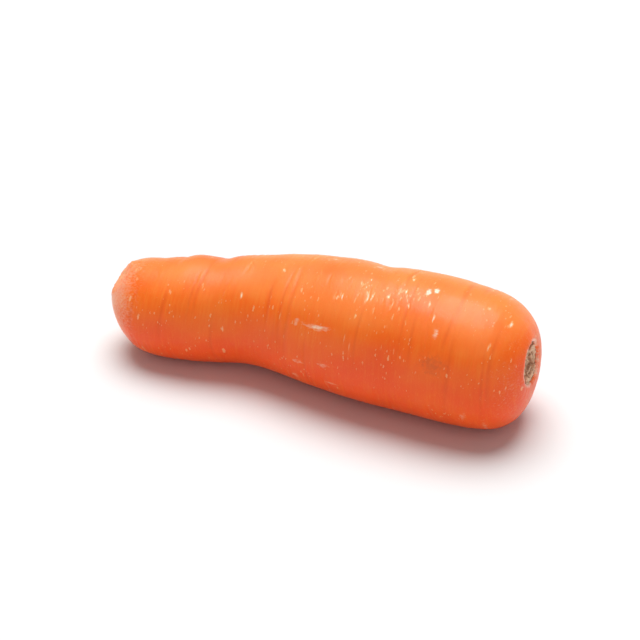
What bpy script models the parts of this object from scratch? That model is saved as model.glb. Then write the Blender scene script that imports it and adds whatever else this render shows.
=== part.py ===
"""One topped and washed carrot, lying on its belly. Metres, +Z up.

The root runs along X, with its broken tail at -X and its crown, where the leaf stalks came off, at +X.
It grew as one piece, so it is one solid. The origin is the middle of its bounding box, on the surface
that it rests on.
"""

import math
from dataclasses import dataclass

import bmesh
import bpy
from mathutils import Vector

# ---- Driving dimensions ----

LENGTH = 0.122  # tail end to crown face

TAIL_RADIUS = 0.0131  # of the root just before the tail rounds off
WAIST_RADIUS = 0.0147  # of the slim part behind the tail
MIDDLE_RADIUS = 0.0171
SHOULDER_RADIUS = 0.0190  # the thickest place, where the crown begins to round off

TAIL_ROUND = 0.0125  # length over which the tail closes
TAIL_BLUNTNESS = 2.1  # exponent of the tail's outline: 2 is an ellipse
CROWN_ROUND = 0.0150  # length over which the crown closes
CROWN_BLUNTNESS = 2.4
CROWN_TILT = math.radians(5)  # how far the crown's face looks up

SCAR_RADIUS = 0.0060  # of the dish that the leaf stalks left in the crown
SCAR_DEPTH = 0.0013
SCAR_STEEPNESS = 4  # exponent of the dish's outline: 2 is a bowl, more is a flat floor with steep sides
SCAR_SIDE = -0.0020  # how far the dish stands to +Y of the crown's middle
SCAR_LIFT = 0.0040  # and above it

BREAK_DEPTH = 0.0011  # how far the slanting break at the tail lies below the round end
BREAK_FACING = Vector((-0.80, -0.20, 0.57)).normalized()

BELLY_FLAT = 0.0003  # depth of the flat that the root's own weight rests on

SEGMENTS = 64  # around the root
TAIL_RINGS = 12
BODY_RINGS = 42
CROWN_RINGS = 12
SCAR_RINGS = 5

SKIN_COLOUR = (0.83, 0.165, 0.022, 1.0)
SKIN_ROUGHNESS = 0.42


@dataclass(frozen=True)
class Station:
    """A cross-section that the root's form passes through."""

    along: float  # share of the length, from the tail
    radius: float
    side: float  # how far its centre stands to +Y of the straight axis
    lift: float  # how far its belly stands off the ground


STATIONS = (
    Station(0.00, TAIL_RADIUS - 0.0022, 0.0002, 0.0048),
    Station(0.10, TAIL_RADIUS, -0.0010, 0.0004),
    Station(0.22, WAIST_RADIUS, 0.0004, 0.0002),
    Station(0.35, WAIST_RADIUS + 0.0005, 0.0032, 0.0011),
    Station(0.47, MIDDLE_RADIUS, 0.0029, 0.0007),
    Station(0.62, MIDDLE_RADIUS + 0.0015, 0.0012, 0.0001),
    Station(0.78, SHOULDER_RADIUS, 0.0002, 0.0),
    Station(0.90, SHOULDER_RADIUS - 0.0006, 0.0, 0.0002),
    Station(1.00, SHOULDER_RADIUS - 0.0010, 0.0, 0.0),
)


@dataclass(frozen=True)
class Swell:
    """A low swelling of the skin, or a pinch where its height is negative."""

    along: float  # share of the length, from the tail
    around: float  # degrees from +Y, by way of the top
    height: float
    reach_along: float
    reach_around: float  # degrees


SWELLS = (
    Swell(0.185, 60, 0.0004, 0.006, 55),
    Swell(0.245, 62, -0.0008, 0.004, 48),
    Swell(0.385, 60, 0.0004, 0.010, 60),
    Swell(0.640, 55, -0.0005, 0.006, 40),
    Swell(0.330, 205, -0.0005, 0.007, 45),
    Swell(0.520, 250, 0.0004, 0.010, 50),
    Swell(0.700, 170, -0.0003, 0.006, 50),
    Swell(0.150, 190, 0.0004, 0.007, 55),
    Swell(0.450, 345, -0.0005, 0.006, 50),
    Swell(0.820, 330, 0.0004, 0.008, 45),
)


def clear_scene():
    """Removes whatever the startup file holds."""
    for obj in list(bpy.data.objects):
        bpy.data.objects.remove(obj)


def between_stations(along, value):
    """The value of a station at any share of the length, on a smooth cubic through all of them."""
    last = len(STATIONS) - 1
    start = max(i for i in range(last) if STATIONS[i].along <= along or i == 0)

    def slope(i):
        before, after = STATIONS[max(i - 1, 0)], STATIONS[min(i + 1, last)]
        return (value(after) - value(before)) / (after.along - before.along)

    left, right = STATIONS[start], STATIONS[start + 1]
    gap = right.along - left.along
    t = (along - left.along) / gap
    return (
        (2 * t**3 - 3 * t**2 + 1) * value(left)
        + (t**3 - 2 * t**2 + t) * gap * slope(start)
        + (3 * t**2 - 2 * t**3) * value(right)
        + (t**3 - t**2) * gap * slope(start + 1)
    )


def root_radius(x):
    """Radius of the root at a distance from the tail, as if its ends were open."""
    return between_stations(x / LENGTH, lambda station: station.radius)


def closing(turn, bluntness):
    """A rounded end at a turn from 0, its pole, to 1, its full width: (depth from the pole, width).

    Both are shares: of the length over which the end closes, and of the root's radius.
    """
    angle = turn * math.pi / 2
    return 1 - math.cos(angle) ** (2 / bluntness), math.sin(angle) ** (2 / bluntness)


def outline():
    """The outline that is spun, from the tail's pole to the middle of the scar: (distance, radius)."""
    points = []
    for i in range(TAIL_RINGS):
        depth, width = closing(i / TAIL_RINGS, TAIL_BLUNTNESS)
        x = depth * TAIL_ROUND
        points.append((x, width * root_radius(x)))

    body = LENGTH - TAIL_ROUND - CROWN_ROUND
    for i in range(BODY_RINGS):
        x = TAIL_ROUND + body * i / BODY_RINGS
        points.append((x, root_radius(x)))

    for i in range(CROWN_RINGS):
        depth, width = closing(1 - i / CROWN_RINGS, CROWN_BLUNTNESS)
        x = LENGTH - depth * CROWN_ROUND
        if width * root_radius(x) > SCAR_RADIUS + SCAR_DEPTH:
            points.append((x, width * root_radius(x)))

    lip = points[-1][0]
    for i in range(SCAR_RINGS + 1):
        share = 1 - i / SCAR_RINGS
        points.append((lip - SCAR_DEPTH * (1 - share**SCAR_STEEPNESS), share * SCAR_RADIUS))
    return points


def spin_outline(bm):
    """Spins the outline about X into a closed, straight root."""
    verts = [bm.verts.new((x, 0, -radius)) for x, radius in outline()]
    edges = [bm.edges.new(pair) for pair in zip(verts, verts[1:])]
    bmesh.ops.spin(
        bm,
        geom=verts + edges,
        cent=(0, 0, 0),
        axis=(1, 0, 0),
        angle=2 * math.pi,
        steps=SEGMENTS,
        use_merge=True,
    )
    bmesh.ops.remove_doubles(bm, verts=bm.verts, dist=1e-6)
    bmesh.ops.recalc_face_normals(bm, faces=bm.faces)


def swelling(along, around):
    """Height of all the swells together at a share of the length and a bearing in degrees."""
    total = 0.0
    for swell in SWELLS:
        off_along = (along - swell.along) * LENGTH / swell.reach_along
        off_around = ((around - swell.around + 180) % 360 - 180) / swell.reach_around
        total += swell.height * math.exp(-(off_along**2) - off_around**2)
    return total


def grow(bm):
    """Moves the straight root's points into the grown form: swells, then the bend and the belly line."""
    for vert in bm.verts:
        x, y, z = vert.co
        along = min(max(x / LENGTH, 0.0), 1.0)
        radius = math.hypot(y, z)
        share = min(radius / root_radius(x), 1.0)
        around = math.degrees(math.atan2(z, y))
        fatter = 1 + swelling(along, around) * share / max(radius, SCAR_RADIUS)
        side = between_stations(along, lambda station: station.side)
        lift = between_stations(along, lambda station: station.lift)
        in_crown = min(max((x - LENGTH + CROWN_ROUND) / CROWN_ROUND, 0.0), 1.0)
        lean = math.tan(CROWN_TILT) * z * in_crown
        to_scar = in_crown * (1 - share**2) ** 2
        side += SCAR_SIDE * to_scar
        lift += SCAR_LIFT * to_scar
        vert.co = (x - lean, y * fatter + side, z * fatter + root_radius(x) + lift)


def break_tail(bm):
    """Flattens the tail's end onto the slanting plane where its thin point snapped off."""
    farthest = max(vert.co.dot(BREAK_FACING) for vert in bm.verts if vert.co.x < LENGTH / 2)
    level = farthest - BREAK_DEPTH
    for vert in bm.verts:
        above = vert.co.dot(BREAK_FACING) - level
        if above > 0 and vert.co.x < TAIL_ROUND:
            vert.co -= above * BREAK_FACING


def flatten_belly(bm):
    """Flattens the lowest strip of the belly, so that the root lies still."""
    level = min(vert.co.z for vert in bm.verts) + BELLY_FLAT
    for vert in bm.verts:
        vert.co.z = max(vert.co.z, level) - level


def centre(bm):
    """Moves the origin to the middle of the bounding box, at ground level."""
    for axis in (0, 1):
        values = [vert.co[axis] for vert in bm.verts]
        middle = (min(values) + max(values)) / 2
        for vert in bm.verts:
            vert.co[axis] -= middle


def skin_material():
    """Damp orange skin."""
    material = bpy.data.materials.new("carrot_skin")
    material.use_nodes = True
    shader = material.node_tree.nodes["Principled BSDF"]
    shader.inputs["Base Color"].default_value = SKIN_COLOUR
    shader.inputs["Roughness"].default_value = SKIN_ROUGHNESS
    shader.inputs["Metallic"].default_value = 0.0
    return material


def make_carrot():
    """The whole root, as one object."""
    bm = bmesh.new()
    spin_outline(bm)
    grow(bm)
    break_tail(bm)
    flatten_belly(bm)
    centre(bm)
    mesh = bpy.data.meshes.new("carrot")
    bm.to_mesh(mesh)
    bm.free()
    mesh.shade_smooth()
    mesh.materials.append(skin_material())
    carrot = bpy.data.objects.new("carrot", mesh)
    bpy.context.scene.collection.objects.link(carrot)
    return carrot


clear_scene()
make_carrot()
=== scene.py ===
"""The looks of one topped and washed carrot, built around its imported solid. Metres, +Z up.

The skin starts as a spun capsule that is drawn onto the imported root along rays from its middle, so
its rings lie as the growth rings do. Creases, side-root scars, scuffs and the two worn ends are
then raised or sunk along its normals. Stubs of dry leaf stalk and a few loose fibres stand in the
scar of the crown.
"""

import logging
import math
import random
from dataclasses import dataclass, field
from enum import Enum

import bmesh
import bpy
import numpy as np
from mathutils import Matrix, Vector, noise
from mathutils.bvhtree import BVHTree


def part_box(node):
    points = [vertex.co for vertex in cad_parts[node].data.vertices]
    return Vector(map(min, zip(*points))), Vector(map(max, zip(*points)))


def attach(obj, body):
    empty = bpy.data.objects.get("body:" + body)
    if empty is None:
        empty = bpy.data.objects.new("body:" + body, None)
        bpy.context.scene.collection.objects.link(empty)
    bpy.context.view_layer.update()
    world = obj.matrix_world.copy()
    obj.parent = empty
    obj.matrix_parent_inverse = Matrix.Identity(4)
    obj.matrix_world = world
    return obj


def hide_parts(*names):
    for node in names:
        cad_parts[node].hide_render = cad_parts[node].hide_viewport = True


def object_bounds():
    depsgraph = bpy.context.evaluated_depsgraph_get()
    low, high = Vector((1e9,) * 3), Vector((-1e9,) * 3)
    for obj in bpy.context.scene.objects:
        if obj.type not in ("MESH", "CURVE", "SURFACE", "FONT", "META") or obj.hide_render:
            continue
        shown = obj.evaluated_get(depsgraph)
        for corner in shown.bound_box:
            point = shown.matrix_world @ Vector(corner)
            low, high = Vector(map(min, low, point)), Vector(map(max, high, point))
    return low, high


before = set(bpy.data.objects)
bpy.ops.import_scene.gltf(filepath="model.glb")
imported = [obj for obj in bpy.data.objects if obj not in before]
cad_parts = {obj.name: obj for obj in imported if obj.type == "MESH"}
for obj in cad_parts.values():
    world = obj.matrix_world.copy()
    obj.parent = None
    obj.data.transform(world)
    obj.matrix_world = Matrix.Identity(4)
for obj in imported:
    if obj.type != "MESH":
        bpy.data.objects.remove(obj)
CAD_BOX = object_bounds()

Array = np.ndarray
Colour = tuple[float, float, float]

MM = 0.001
ROOT_NODE = "carrot"
BODY = "root"

log = logging.getLogger("carrot")


# ---- Small tools for shapes ----


def smooth_step(low: float, high: float, value: Array) -> Array:
    """A soft step from 0 at low to 1 at high.

    Args:
        low: Where the step begins.
        high: Where it ends. It may be below low, which turns the step round.
        value: The numbers to step.

    Returns:
        A number from 0 to 1 for each value.
    """
    share = np.clip((value - low) / (high - low), 0.0, 1.0)
    return share * share * (3.0 - 2.0 * share)


def bell(value: Array, reach: float) -> Array:
    """A soft hill that is 1 where the value is 0 and falls to a third at its reach."""
    return np.exp(-np.square(value / reach))


def grain(points: Array, size: tuple[float, float, float] | float, seed: float = 0.0) -> Array:
    """Smooth noise over a set of points.

    Args:
        points: One row of x, y and z for each point, in metres.
        size: How large the noise's lumps are, in metres, for all axes or for each.
        seed: Any number. Another one gives another pattern.

    Returns:
        A number from about -1 to 1 for each point.
    """
    scaled = points / np.asarray(size, float) + seed * 17.31
    return np.fromiter((noise.noise(row) for row in scaled.tolist()), float, len(scaled))


def stand_up(name: str, body: bmesh.types.BMesh) -> bpy.types.Object:
    """Turns a bmesh into an object of the scene, and frees the bmesh."""
    mesh = bpy.data.meshes.new(name)
    body.to_mesh(mesh)
    body.free()
    made = bpy.data.objects.new(name, mesh)
    bpy.context.scene.collection.objects.link(made)
    return made


# ---- Small tools for materials ----


@dataclass(frozen=True)
class Signal:
    """The output of a shader node. Calculating with it adds Math nodes."""

    graph: "Graph"
    socket: bpy.types.NodeSocket

    def calculate(self, operation: str, *values: "Signal | float") -> "Signal":
        """Adds one Math node that works on the values in order."""
        return self.graph.node("ShaderNodeMath", {"operation": operation}, dict(enumerate(values)))

    def __add__(self, other: "Signal | float") -> "Signal":
        """This signal plus another, or plus a number."""
        return self.calculate("ADD", self, other)

    def __radd__(self, other: float) -> "Signal":
        """A number plus this signal."""
        return self.calculate("ADD", other, self)

    def __sub__(self, other: "Signal | float") -> "Signal":
        """This signal less another, or less a number."""
        return self.calculate("SUBTRACT", self, other)

    def __rsub__(self, other: float) -> "Signal":
        """A number less this signal."""
        return self.calculate("SUBTRACT", other, self)

    def __mul__(self, other: "Signal | float") -> "Signal":
        """This signal times another, or times a number."""
        return self.calculate("MULTIPLY", self, other)

    def __rmul__(self, other: float) -> "Signal":
        """A number times this signal."""
        return self.calculate("MULTIPLY", other, self)

    def at_least(self, other: "Signal | float") -> "Signal":
        """The larger of this signal and another."""
        return self.calculate("MAXIMUM", self, other)

    def step(self, low: float, high: float) -> "Signal":
        """A soft step of this signal from 0 at low to 1 at high."""
        if low > high:
            return 1 - self.step(high, low)
        sizes = {"Value": self, "From Min": low, "From Max": high}
        return self.graph.node("ShaderNodeMapRange", {"interpolation_type": "SMOOTHSTEP"}, sizes)


class Graph:
    """A material and its node tree."""

    def __init__(self, name: str) -> None:
        """Makes a material with one Principled shader.

        Args:
            name: The material's name.
        """
        self.material = bpy.data.materials.new(name)
        self.material.use_nodes = True
        self.tree = self.material.node_tree
        self.shader = self.tree.nodes["Principled BSDF"]

    def feed(self, socket: bpy.types.NodeSocket, value: "Signal | float | tuple") -> None:
        """Links a signal to a socket, or sets the socket's own value."""
        if isinstance(value, Signal):
            self.tree.links.new(value.socket, socket)
        else:
            socket.default_value = value

    def node(self, kind: str, settings: dict, values: dict, output: int | str = 0) -> Signal:
        """Adds any node.

        Args:
            kind: The node's type.
            settings: Its properties by name, set before its sockets are.
            values: What its input sockets hold or are linked to, by name or number.
            output: The name or number of the socket that is wanted.

        Returns:
            The node's output.
        """
        made = self.tree.nodes.new(kind)
        for name, value in settings.items():
            setattr(made, name, value)
        for key, value in values.items():
            self.feed(made.inputs[key], value)
        return Signal(self, made.outputs[output])

    def attribute(self, name: str, output: str = "Fac") -> Signal:
        """Reads one of the piece's own attributes."""
        settings = {"attribute_type": "GEOMETRY", "attribute_name": name}
        return self.node("ShaderNodeAttribute", settings, {}, output)

    def stretched(self, place: Signal, size: tuple[float, float, float]) -> Signal:
        """Coordinates in which a pattern's lumps have the given size in metres along each axis."""
        scale = tuple(1.0 / length for length in size)
        return self.node("ShaderNodeVectorMath", {"operation": "MULTIPLY"}, {0: place, 1: scale})

    def noise(self, place: Signal, size: tuple[float, float, float], detail: float = 2.0) -> Signal:
        """Soft noise from 0 to 1, with lumps of the given size in metres along each axis."""
        values = {"Vector": self.stretched(place, size), "Scale": 1.0, "Detail": detail}
        return self.node("ShaderNodeTexNoise", {}, values)

    def warped(self, place: Signal, size: float, shift: float) -> Signal:
        """Coordinates that wander to and fro.

        Args:
            place: The coordinates.
            size: How large the wandering's lumps are, in metres.
            shift: How far it goes, in metres.

        Returns:
            The wandering coordinates.
        """
        values = {"Vector": self.stretched(place, (size,) * 3), "Scale": 1.0, "Detail": 2.0}
        kind = "ShaderNodeVectorMath"
        drift = self.node("ShaderNodeTexNoise", {}, values, "Color")
        centred = self.node(kind, {"operation": "SUBTRACT"}, {0: drift, 1: (0.5,) * 3})
        reach = self.node(kind, {"operation": "SCALE"}, {0: centred, "Scale": 2 * shift})
        return self.node(kind, {"operation": "ADD"}, {0: place, 1: reach})

    def part(self, place: Signal, axis: str) -> Signal:
        """One coordinate, named X, Y or Z, of a place."""
        return self.node("ShaderNodeSeparateXYZ", {}, {0: place}, axis)

    def spots(self, place: Signal, size: tuple[float, float, float], reach: float) -> Signal:
        """Scattered spots of uneven size.

        Args:
            place: The coordinates.
            size: How far apart the spots stand along each axis, in metres.
            reach: The radius of the largest spot, as a share of that distance.

        Returns:
            1 in the middle of each spot and 0 outside the spots.
        """
        values = {"Vector": self.stretched(place, size), "Scale": 1.0}
        distance = self.node("ShaderNodeTexVoronoi", {"feature": "F1"}, values, "Distance")
        shade = Signal(self, distance.socket.node.outputs["Color"])
        own_size = self.node("ShaderNodeSeparateColor", {}, {0: shade}, 0)
        return (own_size * own_size * reach - distance).step(0.0, 0.06)

    def blend(
        self, share: Signal | float, first: Signal | Colour, second: Signal | Colour
    ) -> Signal:
        """Mixes two colours.

        Args:
            share: How much of the second colour shows, from 0 to 1.
            first: The colour at 0.
            second: The colour at 1.

        Returns:
            The mixed colour.
        """
        colours = [c if isinstance(c, Signal) else (*c, 1.0) for c in (first, second)]
        values = {0: share, 6: colours[0], 7: colours[1]}
        return self.node("ShaderNodeMix", {"data_type": "RGBA"}, values, 2)

    def bump(self, height: Signal, depth: float) -> Signal:
        """A normal that makes a height from 0 to 1 stand out by a depth in metres."""
        values = {"Height": height, "Distance": depth, "Strength": 1.0}
        return self.node("ShaderNodeBump", {}, values)


# ---- Finishes ----


@dataclass(frozen=True)
class CarrotFinish:
    """Damp carrot skin, with its pale scuffs and its two dry ends, in one material, with painted
    light in its colour.
    """

    orange: Colour = (0.98, 0.150, 0.008)
    amber: Colour = (1.00, 0.235, 0.026)
    # a painted highlight along the top of the root
    painted_highlight_colour: Colour = (1.00, 0.34, 0.090)
    red_orange: Colour = (0.94, 0.088, 0.005)
    ring_brown: Colour = (0.70, 0.070, 0.006)
    fleck: Colour = (1.00, 0.60, 0.28)
    abraded: Colour = (0.98, 0.48, 0.30)
    # near white: bared flesh, and painted glints in the strongest scuffs
    bared_and_glint: Colour = (1.00, 0.84, 0.66)
    bruise: Colour = (0.56, 0.10, 0.030)
    torn_flesh: Colour = (0.96, 0.33, 0.15)
    core_flesh: Colour = (0.98, 0.50, 0.24)
    collar: Colour = (1.00, 0.60, 0.44)
    dry_dark: Colour = (0.38, 0.165, 0.085)
    dry_tan: Colour = (0.70, 0.36, 0.20)
    dry_pale: Colour = (0.93, 0.64, 0.45)
    roughness: float = 0.41
    specular_level: float = 0.26
    damp_coat: float = 0.14
    coat_roughness: float = 0.18
    flesh_glow: float = 0.30
    glow_reach: Colour = (4.0 * MM, 1.1 * MM, 0.4 * MM)  # how far red, green and blue spread
    relief: float = 0.15 * MM  # depth of the streaks, pores and flecks
    painted_light_heights: tuple[float, float] = (-13 * MM, 17 * MM)  # heights over which red turns to amber: partly the skin's own tone, partly painted light above and painted shade below

    def build(self) -> bpy.types.Material:
        """Builds the material.

        Returns:
            A material that reads the attributes which the skin's modelling writes.
        """
        graph = Graph("carrot_skin")
        grown = graph.attribute("grown", "Vector")
        scar = graph.attribute("scar")
        torn = graph.attribute("torn")
        streaks = graph.noise(grown, (0.8 * MM, 7 * MM, 7 * MM), 3.0)
        pores = graph.noise(grown, (0.24 * MM, 0.80 * MM, 0.80 * MM), 2.0)
        flecks = self.flecks(graph, grown)

        skin = self.skin_colour(graph, grown, streaks, pores, flecks)
        skin = self.torn_colour(graph, skin, grown, torn)
        skin = self.scar_colour(graph, skin, grown, scar)
        graph.feed(graph.shader.inputs["Base Color"], skin)

        scuffed = graph.attribute("scuff")
        dry = scar.at_least(torn * 0.7).at_least(scuffed * 0.5)
        patches = graph.noise(grown, (7 * MM, 9 * MM, 9 * MM), 2.0)
        roughness = self.roughness + 0.16 * (patches - 0.5) + 0.14 * (pores - 0.5) + 0.32 * dry
        graph.feed(graph.shader.inputs["Roughness"], roughness)
        damp = self.damp_coat * patches.step(0.30, 0.62) * (1 - dry)
        graph.feed(graph.shader.inputs["Coat Weight"], damp)
        height = 0.36 * streaks + 0.40 * pores + 0.24 * flecks
        graph.feed(graph.shader.inputs["Normal"], graph.bump(height, self.relief))

        graph.shader.inputs["Subsurface Weight"].default_value = self.flesh_glow
        graph.shader.inputs["Subsurface Radius"].default_value = tuple(
            reach / self.glow_reach[0] for reach in self.glow_reach
        )
        graph.shader.inputs["Subsurface Scale"].default_value = self.glow_reach[0]
        graph.shader.inputs["Coat Roughness"].default_value = self.coat_roughness
        graph.shader.inputs["Specular IOR Level"].default_value = self.specular_level
        return graph.material

    def flecks(self, graph: Graph, grown: Signal) -> Signal:
        """Small pale flakes of uneven outline, longest around the root and strewn unevenly."""
        crowded = graph.noise(grown, (13 * MM, 10 * MM, 10 * MM), 2.0).step(0.38, 0.60)
        ragged = graph.noise(grown, (0.20 * MM, 0.50 * MM, 0.50 * MM), 2.0)
        place = graph.warped(grown, 0.55 * MM, 0.34 * MM)
        tiny = graph.spots(place, (0.62 * MM, 1.5 * MM, 1.5 * MM), 0.34)
        small = graph.spots(place, (1.15 * MM, 3.6 * MM, 3.6 * MM), 0.28)
        large = graph.spots(place, (2.9 * MM, 7.5 * MM, 7.5 * MM), 0.20)
        strewn = (tiny * crowded * 0.8).at_least(small * crowded).at_least(large)
        return (strewn + (ragged - 0.5)).step(0.34, 0.86)

    def skin_colour(
        self, graph: Graph, grown: Signal, streaks: Signal, pores: Signal, flecks: Signal
    ) -> Signal:
        """The colour of sound skin with its marks, and with painted light: paler along the top,
        redder below, white glints in the strongest scuffs.

        Args:
            graph: The material.
            grown: The root's straightened coordinates.
            streaks: Fine noise that runs around the root.
            pores: Finer noise still.
            flecks: Where pale flakes lie.

        Returns:
            The colour.
        """
        broad = graph.noise(grown, (24 * MM, 16 * MM, 16 * MM), 2.0)
        # Amber above and red below, by height: partly the skin's own tone, partly painted light from
        # above and painted shade below.
        painted_light_by_height = graph.part(grown, "Z").step(*self.painted_light_heights)
        tone = 0.62 * broad + 0.38 * painted_light_by_height
        colour = graph.blend(tone.step(0.34, 0.66), self.red_orange, self.orange)
        ambered = (tone + 0.3 * (streaks - 0.5)).step(0.58, 0.90)
        colour = graph.blend(ambered * 0.9, colour, self.amber)
        # A paler band along the top: a painted highlight.
        painted_top_highlight = (painted_light_by_height + 0.30 * (broad - 0.5)).step(0.84, 1.04)
        colour = graph.blend(painted_top_highlight * 0.50, colour, self.painted_highlight_colour)
        colour = graph.blend(streaks.step(0.48, 0.76) * 0.16, colour, self.amber)
        rings = graph.noise(grown, (0.50 * MM, 9 * MM, 9 * MM), 2.0)
        colour = graph.blend(rings.step(0.54, 0.76) * 0.05, colour, self.ring_brown)
        colour = graph.blend(pores.step(0.52, 0.76) * 0.30, colour, self.amber)
        colour = graph.blend(graph.attribute("crease") * 0.40, colour, self.ring_brown)
        bruised = graph.attribute("bruise") + 1.2 * (graph.noise(grown, (0.9 * MM,) * 3, 3.0) - 0.5)
        colour = graph.blend(bruised.step(0.35, 1.10) * 0.45, colour, self.bruise)
        rubbed = graph.noise(grown, (1.2 * MM, 0.50 * MM, 0.50 * MM), 3.0)
        # Scuffs pale the skin; the strongest turn near white, partly bared flesh and partly painted
        # glints.
        worn = graph.attribute("scuff") + 1.5 * (rubbed - 0.5)
        colour = graph.blend(worn.step(0.40, 0.95) * 0.70, colour, self.abraded)
        colour = graph.blend(worn.step(0.85, 1.25) * 0.90, colour, self.bared_and_glint)
        blush = (graph.attribute("blush") + 1.1 * (rubbed - 0.5)).step(0.20, 0.95)
        colour = graph.blend(blush * 0.68, colour, self.abraded)
        lines = graph.noise(grown, (0.24 * MM, 1.7 * MM, 1.7 * MM), 2.0)
        slits = graph.attribute("root_scar") + 1.4 * (lines - 0.5)
        colour = graph.blend(slits.step(0.42, 0.80) * 0.50, colour, self.fleck)
        colour = graph.blend(slits.step(0.88, 1.20) * 0.85, colour, self.bared_and_glint)
        return graph.blend(flecks * 0.52, colour, self.fleck)

    def torn_colour(self, graph: Graph, under: Signal, grown: Signal, torn: Signal) -> Signal:
        """Lays the pale broken flesh of the tail over a colour."""
        mottle = graph.noise(grown, (0.7 * MM,) * 3, 3.0)
        flesh = graph.blend(mottle.step(0.46, 0.76) * 0.65, self.torn_flesh, self.orange)
        pale = graph.attribute("core") + 0.8 * (mottle - 0.5)
        flesh = graph.blend(pale.step(0.10, 0.85) * 0.9, flesh, self.core_flesh)
        edge = (torn + 0.6 * (mottle - 0.5)).step(0.30, 0.75)
        return graph.blend(edge * 0.90, under, flesh)

    def scar_colour(self, graph: Graph, under: Signal, grown: Signal, scar: Signal) -> Signal:
        """Lays the rubbed collar and the dry tissue of the crown's scar over a colour."""
        mottle = graph.noise(grown, (0.55 * MM,) * 3, 3.0)
        collar = (graph.attribute("collar") + 1.2 * (mottle - 0.5)).step(0.25, 1.0)
        colour = graph.blend(collar * 0.80, under, self.collar)
        tone = graph.attribute("scar_tone") + 0.50 * (mottle - 0.5)
        dry = graph.blend(tone.step(0.12, 0.50), self.dry_dark, self.dry_tan)
        dry = graph.blend(tone.step(0.52, 0.90), dry, self.dry_pale)
        return graph.blend((scar + 1.1 * (mottle - 0.5)).step(0.30, 0.68), colour, dry)


@dataclass(frozen=True)
class StalkFinish:
    """Dry, fibrous leaf stalk."""

    name: str = "dry_stalk"
    dark: Colour = (0.44, 0.205, 0.115)
    straw: Colour = (0.76, 0.43, 0.25)
    pale: Colour = (0.95, 0.70, 0.50)
    roughness: float = 0.72
    relief: float = 0.12 * MM  # depth of the fibres

    def build(self) -> bpy.types.Material:
        """Builds the material.

        Returns:
            A material whose fibres run along the root.
        """
        graph = Graph(self.name)
        place = graph.node("ShaderNodeTexCoord", {}, {}, "Object")
        fibres = graph.noise(place, (1.6 * MM, 0.22 * MM, 0.22 * MM), 3.0)
        stain = graph.noise(place, (1.1 * MM,) * 3, 2.0)
        tip = graph.attribute("tip")
        colour = graph.blend((stain + 0.35 * tip).step(0.38, 0.72), self.dark, self.straw)
        colour = graph.blend((fibres + 0.25 * tip).step(0.55, 0.80) * 0.85, colour, self.pale)
        graph.feed(graph.shader.inputs["Base Color"], colour)
        graph.feed(graph.shader.inputs["Roughness"], self.roughness + 0.2 * (fibres - 0.5))
        graph.feed(graph.shader.inputs["Normal"], graph.bump(fibres, self.relief))
        return graph.material


@dataclass(frozen=True)
class FloorFinish:
    """A plain matt surface."""

    colour: Colour = (0.82, 0.82, 0.82)
    roughness: float = 0.9
    specular_level: float = 0.1

    def build(self) -> bpy.types.Material:
        """Builds the material.

        Returns:
            A plain pale material.
        """
        graph = Graph("floor")
        graph.feed(graph.shader.inputs["Base Color"], (*self.colour, 1.0))
        graph.feed(graph.shader.inputs["Roughness"], self.roughness)
        graph.feed(graph.shader.inputs["Specular IOR Level"], self.specular_level)
        return graph.material


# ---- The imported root, read as a form to work on ----


@dataclass
class Facing:
    """A place on the root with the direction that it looks in."""

    centre: Vector
    normal: Vector

    def spread(self, points: Array) -> tuple[Array, Array, Array]:
        """Measures points from this place.

        Args:
            points: One row of x, y and z for each point.

        Returns:
            Each point's height above the place, its distance from the axis, and its bearing around
            it, in radians from the horizontal.
        """
        axis = np.array(self.normal)
        level = np.array(self.normal.cross(Vector((0, 0, 1))).normalized())
        steep = np.cross(level, axis)
        from_centre = points - np.array(self.centre)
        height = from_centre @ axis
        across = from_centre @ level
        up = from_centre @ steep
        return height, np.hypot(across, up), np.arctan2(up, across)

    def stand(self, ring: float, bearing: float, lean: float) -> Matrix:
        """Where a thing stands that grows out of this place.

        Args:
            ring: Its distance from the axis.
            bearing: Its bearing in degrees.
            lean: Degrees by which it leans outwards.

        Returns:
            A matrix whose Z runs along the axis and whose Y points away from it.
        """
        level = self.normal.cross(Vector((0, 0, 1))).normalized()
        steep = level.cross(self.normal)
        turn = math.radians(bearing)
        outwards = math.cos(turn) * level + math.sin(turn) * steep
        sideways = math.cos(turn) * steep - math.sin(turn) * level
        upright = Matrix((sideways, outwards, self.normal)).transposed().to_4x4()
        leaning = Matrix.Translation((0, ring, 0)) @ Matrix.Rotation(math.radians(-lean), 4, "X")
        return Matrix.Translation(self.centre) @ upright @ leaning


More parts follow.
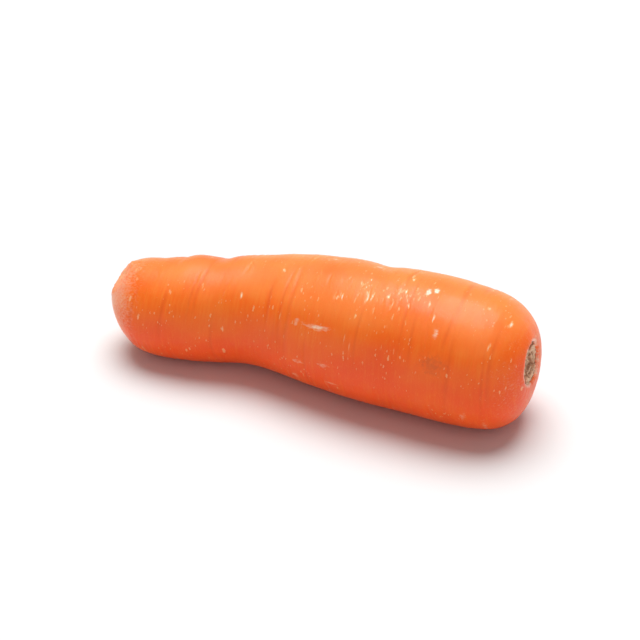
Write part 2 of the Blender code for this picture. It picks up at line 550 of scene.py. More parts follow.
class RootForm:
    """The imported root: its smooth surface, its middle line, its broken face and its scar."""

    END_REACH = 9 * MM  # how much of each end is searched for its flat area
    SLICE = 2.6 * MM  # half the thickness of a slice that the middle line is measured in
    ALIKE = math.cos(math.radians(2))  # faces that differ by less count as one flat
    HOLLOW = math.radians(6)  # edges that bend inwards by less don't count
    FLOOR = 3 * MM  # part of the dish's floor that is surely flat
    STATIONS = 40
    NEARLY_FLAT = math.radians(12)  # triangles that differ by less are joined before rounding
    NEARLY_SQUARE = math.radians(60)

    def __init__(self, node: bpy.types.Object) -> None:
        """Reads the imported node.

        Args:
            node: The root's packed object. It isn't changed.
        """
        form = bmesh.new()
        form.from_mesh(node.data)
        bmesh.ops.remove_doubles(form, verts=form.verts, dist=1e-6)
        self.low, self.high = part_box(node.name)
        self.scar = self.find_dish(form)
        self.tear = self.find_tear(form)
        self.measure_middle(form)
        self.surface = self.smooth_surface(form)

    def find_tear(self, form: bmesh.types.BMesh) -> Facing:
        """The broken face: the largest flat area at the tail end."""
        faces = [f for f in form.faces if f.calc_center_median().x < self.low.x + self.END_REACH]
        normals = np.array([f.normal for f in faces])
        areas = np.array([f.calc_area() for f in faces])
        alike = normals @ normals.T > self.ALIKE
        return self.average([faces[i] for i in np.flatnonzero(alike[np.argmax(alike @ areas)])])

    def find_dish(self, form: bmesh.types.BMesh) -> Facing:
        """The floor of the crown's dish, inside the only ring of hollow edges at that end."""
        edges = [
            edge
            for edge in form.edges
            if edge.is_manifold and edge.verts[0].co.x > self.high.x - self.END_REACH
        ]
        bends = [max(-edge.calc_face_angle_signed() - self.HOLLOW, 0.0) for edge in edges]
        hollows = [bend * edge.calc_length() for bend, edge in zip(bends, edges)]
        middles = [(edge.verts[0].co + edge.verts[1].co) / 2 for edge in edges]
        middle = Vector(np.average(np.array(middles), axis=0, weights=hollows))
        near = [f for f in form.faces if (f.calc_center_median() - middle).length < self.FLOOR]
        return self.average(near)

    def average(self, faces: list[bmesh.types.BMFace]) -> Facing:
        """The middle of some faces and the way they look, by area."""
        areas = [face.calc_area() for face in faces]
        middles = np.array([face.calc_center_median() for face in faces])
        centre = np.average(middles, axis=0, weights=areas)
        normal = np.average(np.array([face.normal for face in faces]), axis=0, weights=areas)
        return Facing(Vector(centre), Vector(normal).normalized())

    def measure_middle(self, form: bmesh.types.BMesh) -> None:
        """Measures the middle line and the radius in slices along the root."""
        points = np.array([vert.co for vert in form.verts])
        margin = self.END_REACH + self.SLICE
        self.stations = np.linspace(self.low.x + margin, self.high.x - margin, self.STATIONS)
        lows, highs = [], []
        for station in self.stations:
            near = points[np.abs(points[:, 0] - station) < self.SLICE]
            lows.append(near.min(axis=0)[1:])
            highs.append(near.max(axis=0)[1:])
        self.middles = (np.array(lows) + np.array(highs)) / 2
        self.radii = (np.array(highs) - np.array(lows)).mean(axis=1) / 2

    @property
    def length(self) -> float:
        """The root's length."""
        return self.high.x - self.low.x

    def middle(self, x: Array | float) -> Array:
        """The middle line at any x, as one row of y and z for each."""
        sides = [np.interp(x, self.stations, self.middles[:, axis]) for axis in (0, 1)]
        return np.stack(sides, axis=-1)

    def radius(self, x: float) -> float:
        """The root's radius at an x."""
        return float(np.interp(x, self.stations, self.radii))

    def smooth_surface(self, form: bmesh.types.BMesh) -> BVHTree:
        """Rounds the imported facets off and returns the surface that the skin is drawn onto."""
        bmesh.ops.join_triangles(
            form,
            faces=form.faces,
            angle_face_threshold=self.NEARLY_FLAT,
            angle_shape_threshold=self.NEARLY_SQUARE,
        )
        guide = stand_up("form", form)
        rounding = guide.modifiers.new("rounding", "SUBSURF")
        rounding.levels = rounding.render_levels = 2
        surface = BVHTree.FromObject(guide, bpy.context.evaluated_depsgraph_get())
        bpy.data.objects.remove(guide)
        return surface


# ---- Marks on the skin ----


class MarkKind(Enum):
    """What a mark on the skin is."""

    ROOT_SCAR = "root_scar"  # a pale slit where a side root grew
    PINCH = "crease"  # a dark crease around the root
    SCUFF = "scuff"  # rubbed skin; the strongest ones also carry painted glints
    BRUISE = "bruise"  # a brown stain
    DENT = "dent"  # a shallow hollow with no colour of its own


@dataclass(frozen=True)
class Mark:
    """One mark: where it is, how far it reaches, and how deep it goes."""

    kind: MarkKind
    along: float  # from the tail's end
    around: float  # degrees from +Y by way of the top
    reach_along: float  # to where it has faded to a third
    reach_around: float
    depth: float  # into the skin
    strength: float = 1.0  # of its colour

    @classmethod
    def in_mm(
        cls,
        kind: MarkKind,
        along: float,
        around: float,
        reach_along: float,
        reach_around: float,
        depth: float,
        strength: float = 1.0,
    ) -> "Mark":
        """A mark whose lengths are given in millimetres."""
        along, reach_along, reach_around = along * MM, reach_along * MM, reach_around * MM
        return cls(kind, along, around, reach_along, reach_around, depth * MM, strength)


@dataclass(frozen=True)
class MarkPlan:
    """The root's marks: those placed one by one on its better side, and those strewn by rule."""

    seed: int = 11
    side_root_scars: int = 120
    cluster_slits: int = 64
    creases: int = 40
    dents: int = 16
    rubs: int = 22
    first_row: float = 35  # bearing of the first row of side roots at the tail, in degrees
    row_winding: float = 30  # degrees by which each row turns between tail and crown
    row_spread: float = 17  # degrees
    cluster_along: tuple[float, float] = (0.68, 0.055)  # middle and spread, as shares of the length
    cluster_around: tuple[float, float] = (116, 11)  # middle and spread, in degrees
    rubbed_side: tuple[float, float] = (205, 440)  # bearings between which the strewn rubs lie
    crease_shade: float = 0.7
    dent_depth: float = 0.14 * MM
    rub_depth: float = 0.04 * MM

    def placed(self) -> list[Mark]:
        """The marks that give this root its face."""
        scar, scuff, dent = MarkKind.ROOT_SCAR, MarkKind.SCUFF, MarkKind.DENT
        pinch, bruise = MarkKind.PINCH, MarkKind.BRUISE
        # kind, along, degrees around, reach along, reach around, depth and strength, in millimetres
        rows = [
            (scuff, 66.0, 153, 5.6, 0.9, 0.06),
            (scuff, 59.5, 152, 0.9, 1.3, 0.05),
            (scuff, 60.5, 190, 2.6, 0.8, 0.05, 0.8),
            (scuff, 68.5, 186, 2.4, 0.9, 0.05, 0.8),
            (scuff, 98.8, 136, 0.9, 1.9, 0.10),
            # The next two scuffs are strong enough to turn near white: painted glints.
            (scuff, 93.0, 101, 0.9, 1.3, 0.10, 1.7),
            (scuff, 94.8, 97, 0.8, 1.2, 0.12, 1.7),
            (scuff, 95.5, 64, 3.6, 0.6, 0.04, 0.8),
            (scuff, 113.0, 222, 1.0, 5.5, 0.05, 0.7),
            (scuff, 108.0, 205, 1.2, 2.8, 0.04, 0.6),
            (scar, 41.5, 136, 0.40, 1.3, 0.10, 1.3),
            (scar, 77.7, 119, 0.45, 1.8, 0.12, 1.3),
            (scar, 84.9, 122, 0.40, 1.9, 0.10),
            (scar, 86.8, 113, 0.35, 1.2, 0.08),
            (scar, 87.6, 90, 0.50, 0.8, 0.10, 1.3),
            (scar, 51.2, 103, 0.50, 0.8, 0.10, 1.2),
            (scar, 21.6, 134, 0.55, 0.8, 0.10),
            (scar, 10.2, 119, 0.50, 1.0, 0.08, 0.8),
            (scar, 115.6, 105, 0.45, 1.6, 0.10, 1.3),
            (scar, 112.8, 135, 0.40, 1.5, 0.08),
            (scar, 109.8, 100, 0.55, 0.7, 0.08, 1.2),
            (scar, 37.9, 172, 0.45, 0.8, 0.08),
            (pinch, 50.0, 140, 0.45, 5.5, 0.14),
            (bruise, 99.5, 161, 4.6, 3.4, 0.05),
            (dent, 99.5, 160, 4.0, 4.0, 0.16),
            (dent, 76.5, 60, 3.0, 9.0, 0.45),
            (dent, 31.0, 62, 2.0, 7.0, 0.35),
            (dent, 19.5, 66, 1.5, 5.0, 0.25),
            (dent, 94.0, 108, 2.0, 3.2, 0.20),
        ]
        return [Mark.in_mm(*row) for row in rows]

    def strewn(self, length: float) -> list[Mark]:
        """The marks that are scattered over the whole root.

        Args:
            length: The root's length.

        Returns:
            The marks. Scars of side roots stand in four loose rows that wind a little around it.
        """
        chance = random.Random(self.seed)
        marks = []
        for _ in range(self.side_root_scars):
            along = length * chance.uniform(0.05, 0.97)
            row = self.first_row + 90 * chance.randrange(4) + self.row_winding * along / length
            around = row + chance.gauss(0, self.row_spread)
            size = chance.uniform(0.5, 1.0) ** 2
            reach, wide = (0.24 + 0.20 * size) * MM, 3.2 * size * MM
            depth = (0.04 + 0.10 * size) * MM
            strength = chance.uniform(0.2, 0.9)
            marks.append(Mark(MarkKind.ROOT_SCAR, along, around, reach, wide, depth, strength))
        for _ in range(self.cluster_slits):
            along = length * chance.gauss(*self.cluster_along)
            around = chance.gauss(*self.cluster_around)
            size = chance.uniform(0.2, 0.75)
            reach, wide = (0.24 + 0.14 * size) * MM, 1.9 * size * MM
            depth = (0.03 + 0.05 * size) * MM
            strength = chance.uniform(0.6, 1.5)
            marks.append(Mark(MarkKind.ROOT_SCAR, along, around, reach, wide, depth, strength))
        for _ in range(self.creases):
            along, around = length * chance.uniform(0.06, 0.95), chance.uniform(0, 360)
            reach = chance.uniform(0.30, 0.60) * MM
            depth = chance.uniform(0.04, 0.12) * MM
            wide = chance.uniform(4, 11) * MM
            marks.append(Mark(MarkKind.PINCH, along, around, reach, wide, depth, self.crease_shade))
        for _ in range(self.dents):
            along, around = length * chance.uniform(0.08, 0.92), chance.uniform(0, 360)
            reach = chance.uniform(2.0, 5.0) * MM
            marks.append(Mark(MarkKind.DENT, along, around, reach, 1.3 * reach, self.dent_depth))
        for _ in range(self.rubs):
            along, around = length * chance.uniform(0.04, 0.96), chance.uniform(*self.rubbed_side)
            reach = chance.uniform(0.6, 3.2) * MM
            wide = chance.uniform(0.5, 1.5) * MM
            marks.append(Mark(MarkKind.SCUFF, along, around, reach, wide, self.rub_depth, 0.9))
        return marks


# ---- The skin ----


@dataclass
class CarrotSkin:
    """The whole outside of the root, as one closed mesh."""

    form: RootForm
    stubs: list["Stub"]
    plan: MarkPlan = field(default_factory=MarkPlan)
    steps_around: int = 204
    tail_rings: int = 72
    body_rings: int = 290
    crown_rings: int = 116
    crown_crowding: float = 1.35  # how much closer the rings stand at the scar than at the shoulder
    crown_bulge: float = 0.8  # length of the crown's round end, as a share of its radius
    capsule_radius: float = 15 * MM
    smoothings: int = 3
    scar_radius: float = 5.6 * MM
    scar_edge: float = 0.42 * MM  # half the width of the scar's soft edge
    scar_sink: float = 0.60 * MM
    lump_height: float = 0.26 * MM
    ridge_height: float = 0.10 * MM
    wrinkle_height: float = 0.045 * MM
    collar_height: float = 0.30 * MM
    torn_height: float = 0.20 * MM
    torn_edge: tuple[float, float] = (-0.62 * MM, -0.20 * MM)  # heights over which the tear begins
    nub_height: float = 0.7 * MM
    nub_ring: float = 5.2 * MM  # distance of the tail's nub from the tear's middle
    worn_tail: float = 18 * MM  # how far the pale wear of each end reaches
    worn_crown: float = 12 * MM

    def build(self) -> bpy.types.Object:
        """Builds the skin.

        Returns:
            The finished piece.
        """
        skin = self.spin_capsule()
        self.draw_onto_form(skin)
        axes = {"use_axis_x": True, "use_axis_y": True, "use_axis_z": True}
        for _ in range(self.smoothings):
            bmesh.ops.smooth_vert(skin, verts=skin.verts, factor=0.5, **axes)
        bmesh.ops.recalc_face_normals(skin, faces=skin.faces)
        piece = stand_up("carrot_skin", skin)
        self.sculpt(piece.data)
        piece.data.shade_smooth()
        piece.data.materials.append(CarrotFinish().build())
        return piece

    def foci(self) -> tuple[float, float]:
        """Where the two round ends of the root begin, along X."""
        tail = self.form.low.x + self.form.radius(self.form.low.x)
        crown = self.form.high.x - self.crown_bulge * self.form.radius(self.form.high.x)
        return tail, crown

    def spin_capsule(self) -> bmesh.types.BMesh:
        """Spins half a capsule's outline about X.

        Returns:
            A closed capsule along X, with its middle on the X axis.
        """
        tail, crown = self.foci()
        radius = self.capsule_radius
        outline = []
        for i in range(self.tail_rings):
            turn = math.pi / 2 * i / self.tail_rings
            outline.append((tail - radius * math.cos(turn), radius * math.sin(turn)))
        for i in range(self.body_rings):
            outline.append((tail + (crown - tail) * i / self.body_rings, radius))
        for i in range(self.crown_rings + 1):
            turn = math.pi / 2 * (1 - i / self.crown_rings) ** self.crown_crowding
            outline.append((crown + radius * math.cos(turn), radius * math.sin(turn)))

        capsule = bmesh.new()
        verts = [capsule.verts.new((x, 0, -height)) for x, height in outline]
        edges = [capsule.edges.new(pair) for pair in zip(verts, verts[1:])]
        bmesh.ops.spin(
            capsule,
            geom=verts + edges,
            cent=(0, 0, 0),
            axis=(1, 0, 0),
            angle=2 * math.pi,
            steps=self.steps_around,
            use_merge=True,
        )
        bmesh.ops.remove_doubles(capsule, verts=capsule.verts, dist=1e-7)
        return capsule

    def draw_onto_form(self, capsule: bmesh.types.BMesh) -> None:
        """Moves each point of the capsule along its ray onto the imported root's smoothed surface."""
        tail, crown = self.foci()
        to_tear = (self.form.tear.centre - Vector((tail, *self.form.middle(tail)))).normalized()
        to_scar = (self.form.scar.centre - Vector((crown, *self.form.middle(crown)))).normalized()
        for vert in capsule.verts:
            focus = min(max(vert.co.x, tail), crown)
            ray = (vert.co - Vector((focus, 0, 0))) / self.capsule_radius
            pole = to_tear if ray.x < 0 else to_scar
            direction = abs(ray.x) * pole + Vector((0, ray.y, ray.z))
            middle = Vector((focus, *self.form.middle(focus)))
            hit = self.form.surface.ray_cast(middle, direction.normalized())[0]
            if hit is None:
                raise ValueError(f"no surface from {tuple(middle)} towards {tuple(direction)}")
            vert.co = hit

    def sculpt(self, mesh: bpy.types.Mesh) -> None:
        """Raises and sinks the skin along its normals, and writes the attributes for its finish."""
        count = len(mesh.vertices)
        points = np.empty(count * 3)
        mesh.vertices.foreach_get("co", points)
        points = points.reshape(-1, 3)
        normals = np.empty(count * 3)
        mesh.vertex_normals.foreach_get("vector", normals)
        normals = normals.reshape(-1, 3)

        grown = self.straighten(points)
        masks = {kind.value: np.zeros(count) for kind in MarkKind}
        height = self.lumps(grown) + self.marks(grown, masks)
        height += self.scar_relief(points, masks)
        height += self.tear_relief(points, masks)
        masks["blush"] = self.blush(grown)
        points += normals * height[:, None]
        points[:, 2] = np.maximum(points[:, 2], self.form.low.z)

        mesh.vertices.foreach_set("co", points.ravel())
        place = mesh.attributes.new("grown", "FLOAT_VECTOR", "POINT")
        place.data.foreach_set("vector", grown.ravel())
        for name, mask in masks.items():
            if name != MarkKind.DENT.value:
                mesh.attributes.new(name, "FLOAT", "POINT").data.foreach_set("value", mask)

    def straighten(self, points: Array) -> Array:
        """The points' places on the root with its bend taken out, counted from the tail's end."""
        grown = points.copy()
        grown[:, 1:] -= self.form.middle(points[:, 0])
        grown[:, 0] -= self.form.low.x
        return grown

    def lumps(self, grown: Array) -> Array:
        """Height of the uneven growth: broad lumps, and fine wrinkles that run around the root."""
        broad = grain(grown, (17 * MM, 13 * MM, 13 * MM), 1)
        ridges = grain(grown, (3.2 * MM, 16 * MM, 16 * MM), 2)
        wrinkles = grain(grown, (1.3 * MM, 8 * MM, 8 * MM), 3)
        where = 0.45 + 0.55 * smooth_step(-0.2, 0.5, grain(grown, 20 * MM, 4))
        height = self.lump_height * broad + self.ridge_height * ridges * where
        return height + self.wrinkle_height * wrinkles * where

    def marks(self, grown: Array, masks: dict[str, Array]) -> Array:
        """Height of all the marks.

        Args:
            grown: The straightened points.
            masks: One array for each kind of mark, which this fills with the marks' colour.

        Returns:
            The height at each point.
        """
        height = np.zeros(len(grown))
        bearing = np.degrees(np.arctan2(grown[:, 2], grown[:, 1]))
        girth = np.hypot(grown[:, 1], grown[:, 2])
        marks = self.plan.placed() + self.plan.strewn(self.form.length)
        for number, mark in enumerate(marks):
            across = np.radians((bearing - mark.around + 180) % 360 - 180) * girth
            along = grown[:, 0] - mark.along
            beside = np.abs(across) < 2.2 * mark.reach_around
            near = np.flatnonzero(beside & (np.abs(along) < 3.5 * mark.reach_along))
            across, along = across[near], along[near]
            if mark.kind in (MarkKind.ROOT_SCAR, MarkKind.PINCH):
                waving = np.sin(across / mark.reach_around * 2 + number)
                along = along + 0.5 * mark.reach_along * waving
                ends = bell(across, mark.reach_around)
                groove = bell(along, mark.reach_along) * ends
                lips = bell(np.abs(along) - 1.9 * mark.reach_along, 0.8 * mark.reach_along) * ends
                height[near] += mark.depth * (0.45 * lips - groove)
            else:
                groove = bell(across, mark.reach_around) * bell(along, mark.reach_along)
                height[near] -= mark.depth * groove
            colour = masks[mark.kind.value]
            colour[near] = np.maximum(colour[near], groove * mark.strength)
        return height

    def scar_relief(self, points: Array, masks: dict[str, Array]) -> Array:
        """Height of the crown's scar and of the wrinkled shoulder around it.

        Args:
            points: The points where they stand.
            masks: Gets scar, scar_tone and collar.

        Returns:
            The height at each point.
        """
        _, rho, bearing = self.form.scar.spread(points)
        at_crown = points[:, 0] > 0
        round_about = self.on_circle(bearing)
        uneven = 0.55 * MM * grain(round_about, 0.9, 5) + 0.30 * MM * grain(round_about, 0.22, 6)
        past_rim = rho + uneven - self.scar_radius
        edge = smooth_step(
            self.scar_radius + self.scar_edge, self.scar_radius - self.scar_edge, rho + uneven
        )
        inside = np.where(at_crown, edge, 0)

        bases = self.stub_bases(rho, bearing)
        fibres = grain(points, (0.9 * MM, 0.30 * MM, 0.30 * MM), 8)
        coarse = grain(points, 1.0 * MM, 9)
        spokes = grain(round_about, 0.13, 11)
        floor = 0.75 * MM * bases + 0.10 * MM * fibres + 0.20 * MM * coarse + 0.08 * MM * spokes
        floor -= self.scar_sink

        swollen = 0.70 + 0.45 * grain(round_about, 0.5, 10)
        ring = self.collar_height * bell(past_rim - 0.8 * MM, 1.0 * MM) * swollen
        collar = np.where(at_crown, ring, 0)
        shoulder = np.where(at_crown, bell(past_rim - 1.8 * MM, 3.2 * MM), 0)
        wrinkles = 0.09 * MM * spokes * shoulder

        masks["scar"] = inside
        shade = 0.26 + 0.46 * bases + 0.30 * coarse + 0.22 * fibres + 0.10 * spokes
        masks["scar_tone"] = np.clip(shade, 0, 1) * inside
        rubbed = np.clip(0.70 + 0.8 * grain(round_about, 0.42, 15) + 0.35 * spokes, 0.35, 1)
        masks["collar"] = np.where(at_crown, bell(past_rim - 0.30 * MM, 0.80 * MM), 0) * rubbed
        return inside * floor + (1 - inside) * (collar + wrinkles)

    def on_circle(self, bearing: Array) -> Array:
        """Points on a unit circle, on which noise varies with the bearing alone."""
        return np.stack([np.cos(bearing), np.sin(bearing), np.zeros_like(bearing)], axis=1)

    def stub_bases(self, rho: Array, bearing: Array) -> Array:
        """Where the scar's floor swells into the stalk stubs.

        Args:
            rho: Each point's distance from the scar's middle.
            bearing: Its bearing around the scar, in radians.

        Returns:
            A number from 0 to 1 for each point.
        """
        bases = np.zeros(len(rho))
        for stub in self.stubs:
            turn = bearing - math.radians(stub.bearing)
            aside = rho * np.sin(turn) / (0.62 * stub.width)
            curled = rho * np.cos(turn) - stub.ring + 0.30 * stub.width * np.square(aside)
            outward = curled / (0.62 * MM)
            swell = np.exp(-np.square(outward) - aside**4) * (np.cos(turn) > 0)
            bases = np.maximum(bases, swell)
        return bases

    def tear_relief(self, points: Array, masks: dict[str, Array]) -> Array:
        """Height of the rough broken face at the tail.

        Args:
            points: The points where they stand.
            masks: Gets torn and core.

        Returns:
            The height at each point.
        """
        level, rho, bearing = self.form.tear.spread(points)
        at_tail = points[:, 0] < self.form.low.x + 2 * self.form.END_REACH
        wander = 0.22 * MM * grain(points, 1.6 * MM, 16) + 0.12 * MM * grain(points, 0.5 * MM, 17)
        torn = np.where(at_tail, smooth_step(*self.torn_edge, level + wander), 0)
        rough = grain(points, 1.5 * MM, 12) + 0.5 * grain(points, 0.55 * MM, 13)
        spokes = grain(self.on_circle(bearing) * (1 + rho[:, None] / (6 * MM)), 0.30, 18)
        core = bell(rho, 1.5 * MM)
        ring = bell(rho - 2.3 * MM, 0.45 * MM)
        lip = bell(level + wander + 0.42 * MM, 0.25 * MM)
        rim = np.where(at_tail, lip, 0) * (0.6 + 0.5 * rough)
        knob = bell(rho - self.nub_ring, 1.5 * MM) * bell(bearing - math.pi / 2, 0.34)
        nub = np.where(at_tail, knob, 0)
        masks["torn"] = torn
        masks["core"] = torn * np.clip(core + 0.35 * spokes + 0.3 * ring, 0, 1)
        inner = self.torn_height * (rough + 0.7 * spokes) - 0.30 * MM * core + 0.14 * MM * ring
        inner -= 0.12 * MM
        return torn * inner + 0.16 * MM * rim + self.nub_height * nub

    def blush(self, grown: Array) -> Array:
        """How rubbed and pale the skin is: most at the tail, some at the shoulder."""
        length = self.form.length
        tail = smooth_step(self.worn_tail, 1 * MM, grown[:, 0])
        shoulder = 0.35 * smooth_step(length - self.worn_crown, length, grown[:, 0])
        patch = 0.5 + 0.5 * grain(grown, 9 * MM, 14)
        return np.clip((tail + shoulder) * (0.55 + 0.6 * patch), 0, 1)


# ---- Dry remains in the scar ----


@dataclass(frozen=True)
class Stub:
    """One torn leaf stalk: where it stands in the scar, and its size."""

    ring: float  # distance from the scar's middle
    bearing: float  # degrees around the scar
    width: float
    thickness: float
    height: float


@dataclass
class LeafStalks:
    """The torn stubs of the leaf stalks, and the fibres that hang loose between them."""

    form: RootForm
    seed: int = 5
    sides: int = 22
    layers: int = 7
    root_depth: float = 1.0 * MM  # how far a stub reaches below the dish's floor
    curl: float = 0.32  # how far a stub bows outwards, as a share of its width
    foot: tuple[float, float, float] = (1.25, 1.6, 1.0)  # how much wider a stub is at its base
    taper: tuple[float, float, float] = (0.945, 0.88, 1.0)  # from one layer to the next
    tip_rim: float = 0.14 * MM  # width of the two steps by which a stub's top is hollowed
    tip_sinks: tuple[float, float] = (0.10 * MM, 0.16 * MM)
    fibre_radius: float = 0.07 * MM
    fibre_sides: int = 5
    fibre_joints: int = 6
    fibre_taper: float = 0.86  # from one joint to the next
    fibres: int = 7

    def stubs(self) -> list[Stub]:
        """The stubs, from the scar's edge to its middle."""
        # ring, bearing in degrees, width, thickness and height, in millimetres
        rows = [
            (4.2, 12, 3.9, 1.15, 0.70),
            (4.5, 66, 3.0, 0.95, 1.15),
            (4.1, 121, 4.3, 1.25, 1.30),
            (4.5, 189, 3.4, 0.90, 0.55),
            (4.2, 244, 4.1, 1.20, 1.10),
            (4.4, 307, 3.2, 1.00, 1.30),
            (2.7, 30, 2.9, 0.95, 0.45),
            (2.3, 158, 2.3, 1.00, 0.75),
            (2.6, 268, 2.8, 0.80, 0.50),
            (0.6, 80, 1.6, 1.10, 0.25),
        ]
        return [
            Stub(ring * MM, bearing, width * MM, thickness * MM, height * MM)
            for ring, bearing, width, thickness, height in rows
        ]

    def build(self) -> list[bpy.types.Object]:
        """Builds every stub and one bundle of fibres.

        Returns:
            The finished pieces.
        """
        finish = StalkFinish().build()
        stubs = enumerate(self.stubs(), 1)
        pieces = [self.build_stub(number, stub, finish) for number, stub in stubs]
        pieces.append(self.build_fibres(finish))
        return pieces

    def build_stub(self, number: int, stub: Stub, finish: bpy.types.Material) -> bpy.types.Object:
        """Builds one stub.

        Args:
            number: Its number, for its name and its own pattern of tearing.
            stub: Its place and size.
            finish: Its material.

        Returns:
            The piece.
        """
        chance = random.Random(self.seed + number)
        body = bmesh.new()
        base = bmesh.ops.create_circle(body, cap_ends=True, segments=self.sides, radius=1.0)
        curl = self.curl * stub.width
        for vert in base["verts"]:
            x, y, _ = vert.co
            vert.co = (x * stub.width / 2, y * stub.thickness / 2 - curl * x * x, -self.root_depth)
        bmesh.ops.scale(body, verts=base["verts"], vec=self.foot)
        face = body.faces[:][0]
        rise = (stub.height + self.root_depth) / self.layers
        for layer in range(self.layers):
            face = self.raise_face(body, face, keep=layer == 0)
            sideways, outwards = chance.uniform(-0.03, 0.03) * MM, chance.uniform(-0.02, 0.05) * MM
            bmesh.ops.translate(body, verts=face.verts, vec=(sideways, outwards, rise))
            if layer < self.layers // 2:
                bmesh.ops.scale(body, verts=face.verts, vec=self.taper)
        for sink in self.tip_sinks:
            bmesh.ops.inset_region(body, faces=[face], thickness=self.tip_rim, depth=-sink)
        bmesh.ops.poke(body, faces=[face])
        bmesh.ops.recalc_face_normals(body, faces=body.faces)
        bmesh.ops.subdivide_edges(
            body, edges=body.edges, cuts=1, use_grid_fill=True, smooth=0.4, smooth_falloff="SMOOTH"
        )
        self.tear(body, stub, number)
        body.transform(self.form.scar.stand(stub.ring, stub.bearing, chance.uniform(2, 16)))
        return self.finish_piece(body, f"leaf_stalk_stub_{number}", finish)

    def raise_face(
        self, body: bmesh.types.BMesh, face: bmesh.types.BMFace, keep: bool
    ) -> bmesh.types.BMFace:
        """Extrudes one face.

        Args:
            body: The shape.
            face: The face. Its copy isn't moved yet.
            keep: Whether the old face stays, as the shape's closed base.

        Returns:
            The new face.
        """
        raised = bmesh.ops.extrude_face_region(body, geom=[face])
        if not keep:
            bmesh.ops.delete(body, geom=[face], context="FACES_ONLY")
        return [item for item in raised["geom"] if isinstance(item, bmesh.types.BMFace)][0]

    def tear(self, body: bmesh.types.BMesh, stub: Stub, number: int) -> None:
        """Roughens a stub's sides and makes its top ragged."""
        shift = Vector((number * 7.3, 0, 0))
        tips = body.verts.layers.float.new("tip")
        for vert in body.verts:
            share = min(max(vert.co.z / stub.height, 0.0), 1.0)
            drawn_out = Vector((vert.co.x, vert.co.y, vert.co.z * 0.15))
            fibre = noise.noise(drawn_out / (0.30 * MM) + shift)
            ragged = noise.noise(Vector((vert.co.x, vert.co.y, 0)) / (0.45 * MM) + shift)
            vert.co.x *= 1 + 0.07 * fibre
            vert.co.y += 0.05 * MM * fibre
            vert.co.z += share**3 * (0.42 * ragged + 0.18 * fibre) * stub.height
            vert[tips] = share**2

    def build_fibres(self, finish: bpy.types.Material) -> bpy.types.Object:
        """Builds the loose fibres as one piece.

        Args:
            finish: Their material.

        Returns:
            The piece.
        """
        chance = random.Random(self.seed)
        bundle = bmesh.new()
        tips = bundle.verts.layers.float.new("tip")
        for _ in range(self.fibres):
            strand = bmesh.new()
            bmesh.ops.create_circle(
                strand, cap_ends=True, segments=self.fibre_sides, radius=self.fibre_radius
            )
            face = strand.faces[:][0]
            bend = Vector((chance.gauss(0, 0.10), chance.gauss(0, 0.10), 0)) * MM
            step = Vector((0, 0, chance.uniform(0.20, 0.30) * MM))
            for joint in range(self.fibre_joints):
                face = self.raise_face(strand, face, keep=joint == 0)
                step = step + bend * 0.5
                bmesh.ops.translate(strand, verts=face.verts, vec=step)
                middle = Matrix.Translation(face.calc_center_median())
                thinner = (self.fibre_taper,) * 3
                bmesh.ops.scale(strand, verts=face.verts, vec=thinner, space=middle.inverted())
            bmesh.ops.recalc_face_normals(strand, faces=strand.faces)
            ring = chance.uniform(2.5, 4.8) * MM
            bearing, lean = chance.uniform(0, 360), chance.uniform(-10, 25)
            strand.transform(self.form.scar.stand(ring, bearing, lean))
            mesh = bpy.data.meshes.new("strand")
            strand.to_mesh(mesh)
            strand.free()
            bundle.from_mesh(mesh)
            bpy.data.meshes.remove(mesh)
        for vert in bundle.verts:
            vert[tips] = 1.0
        return self.finish_piece(bundle, "loose_stalk_fibres", finish)

    def finish_piece(
        self, body: bmesh.types.BMesh, name: str, finish: bpy.types.Material
    ) -> bpy.types.Object:
        """Turns a bmesh into a finished piece.

        Args:
            body: The shape, in place.
            name: The piece's name.
            finish: Its material.

        Returns:
            The piece.
        """
        piece = stand_up(name, body)
        piece.data.shade_smooth()
        piece.data.materials.append(finish)
        return piece


# ---- Studio ----


@dataclass(frozen=True)
class Lamp:
    """One large soft light, so far away that it lights the whole floor evenly."""

    name: str
    width: float  # how wide it looks from the root, in degrees
    strength: float  # in watts per square metre
    source: tuple[float, float, float]  # the direction that it shines from


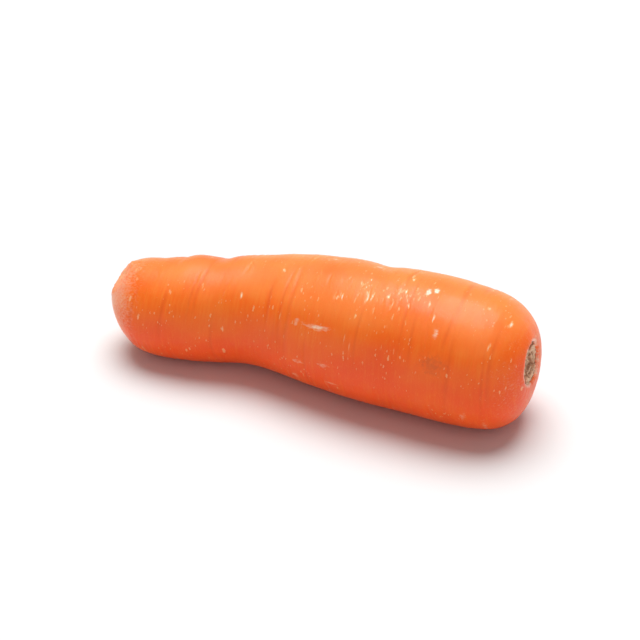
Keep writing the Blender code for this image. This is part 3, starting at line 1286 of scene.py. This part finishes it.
@dataclass(frozen=True)
class Studio:
    """A plain floor, soft light from above and the camera."""

    azimuth: float = 22.6
    elevation: float = 32.0
    distance: float = 0.70
    lens: float = 147.0  # in millimetres, like the sensor
    sensor: float = 36.0
    floor_size: float = 30.0
    sky: float = 0.20
    horizon: float = 0.95  # brightness of a low band of sky, the backdrop of level views
    horizon_band: tuple[float, float] = (0.10, 0.24)  # where the band begins to fade, and its end
    overhead: Lamp = Lamp("overhead", 50, 3.35, (-0.12, 0.27, 0.98))
    fill: Lamp = Lamp("fill", 60, 0.22, (0.45, -0.80, 0.60))

    def build(self, target: Vector) -> None:
        """Builds the floor, the lights and the camera.

        Args:
            target: The point that the camera looks at.
        """
        self.build_floor()
        for lamp in (self.overhead, self.fill):
            self.hang(lamp)
        self.build_sky()
        self.build_camera(target)
        bpy.context.scene.view_settings.view_transform = "Standard"

    def build_floor(self) -> None:
        """Lays the floor at the surface that the root rests on."""
        plane = bmesh.new()
        bmesh.ops.create_grid(plane, x_segments=1, y_segments=1, size=self.floor_size / 2)
        floor = stand_up("floor", plane)
        floor.data.materials.append(FloorFinish().build())

    def hang(self, lamp: Lamp) -> None:
        """Hangs one light and turns it towards the root."""
        source = Vector(lamp.source)
        light = bpy.data.lights.new(lamp.name, "SUN")
        light.angle = math.radians(lamp.width)
        light.energy = lamp.strength
        holder = bpy.data.objects.new(lamp.name, light)
        holder.location = source
        holder.rotation_euler = (-source).to_track_quat("-Z", "Y").to_euler()
        bpy.context.scene.collection.objects.link(holder)

    def build_sky(self) -> None:
        """Surrounds everything with white light, which is brightest near the horizon."""
        world = bpy.data.worlds.new("sky")
        world.use_nodes = True
        nodes, links = world.node_tree.nodes, world.node_tree.links
        place = nodes.new("ShaderNodeTexCoord")
        rise = nodes.new("ShaderNodeSeparateXYZ")
        band = nodes.new("ShaderNodeMapRange")
        band.interpolation_type = "SMOOTHSTEP"
        low, high = self.horizon_band
        stops = {"From Min": low, "From Max": high, "To Min": self.horizon, "To Max": self.sky}
        for name, value in stops.items():
            band.inputs[name].default_value = value
        links.new(place.outputs["Generated"], rise.inputs[0])
        links.new(rise.outputs["Z"], band.inputs["Value"])
        links.new(band.outputs[0], nodes["Background"].inputs["Strength"])
        nodes["Background"].inputs["Color"].default_value = (1.0, 1.0, 1.0, 1.0)
        bpy.context.scene.world = world

    def build_camera(self, target: Vector) -> None:
        """Sets up the camera.

        Args:
            target: The point that it looks at.
        """
        turn, rise = math.radians(self.azimuth), math.radians(self.elevation)
        level = math.cos(rise)
        away = Vector((math.sin(turn) * level, -math.cos(turn) * level, math.sin(rise)))
        lens = bpy.data.cameras.new("camera")
        lens.lens = self.lens
        lens.sensor_width = self.sensor
        camera = bpy.data.objects.new("camera", lens)
        camera.location = target + away * self.distance
        camera.rotation_euler = (-away).to_track_quat("-Z", "Y").to_euler()
        bpy.context.scene.collection.objects.link(camera)
        bpy.context.scene.camera = camera


def report(piece: bpy.types.Object) -> None:
    """Logs a piece's name and how many triangles it has."""
    piece.data.calc_loop_triangles()
    log.info("%s: %d triangles", piece.name, len(piece.data.loop_triangles))


def main() -> None:
    """Builds the carrot and the studio."""
    logging.basicConfig(level=logging.INFO, format="%(name)s %(message)s")
    form = RootForm(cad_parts[ROOT_NODE])
    stalks = LeafStalks(form)
    skin = CarrotSkin(form, stalks.stubs()).build()
    for piece in [skin, *stalks.build()]:
        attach(piece, BODY)
        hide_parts(ROOT_NODE)
        report(piece)
    low, high = CAD_BOX
    Studio().build((Vector(low) + Vector(high)) / 2)


if __name__ == "__main__":
    main()
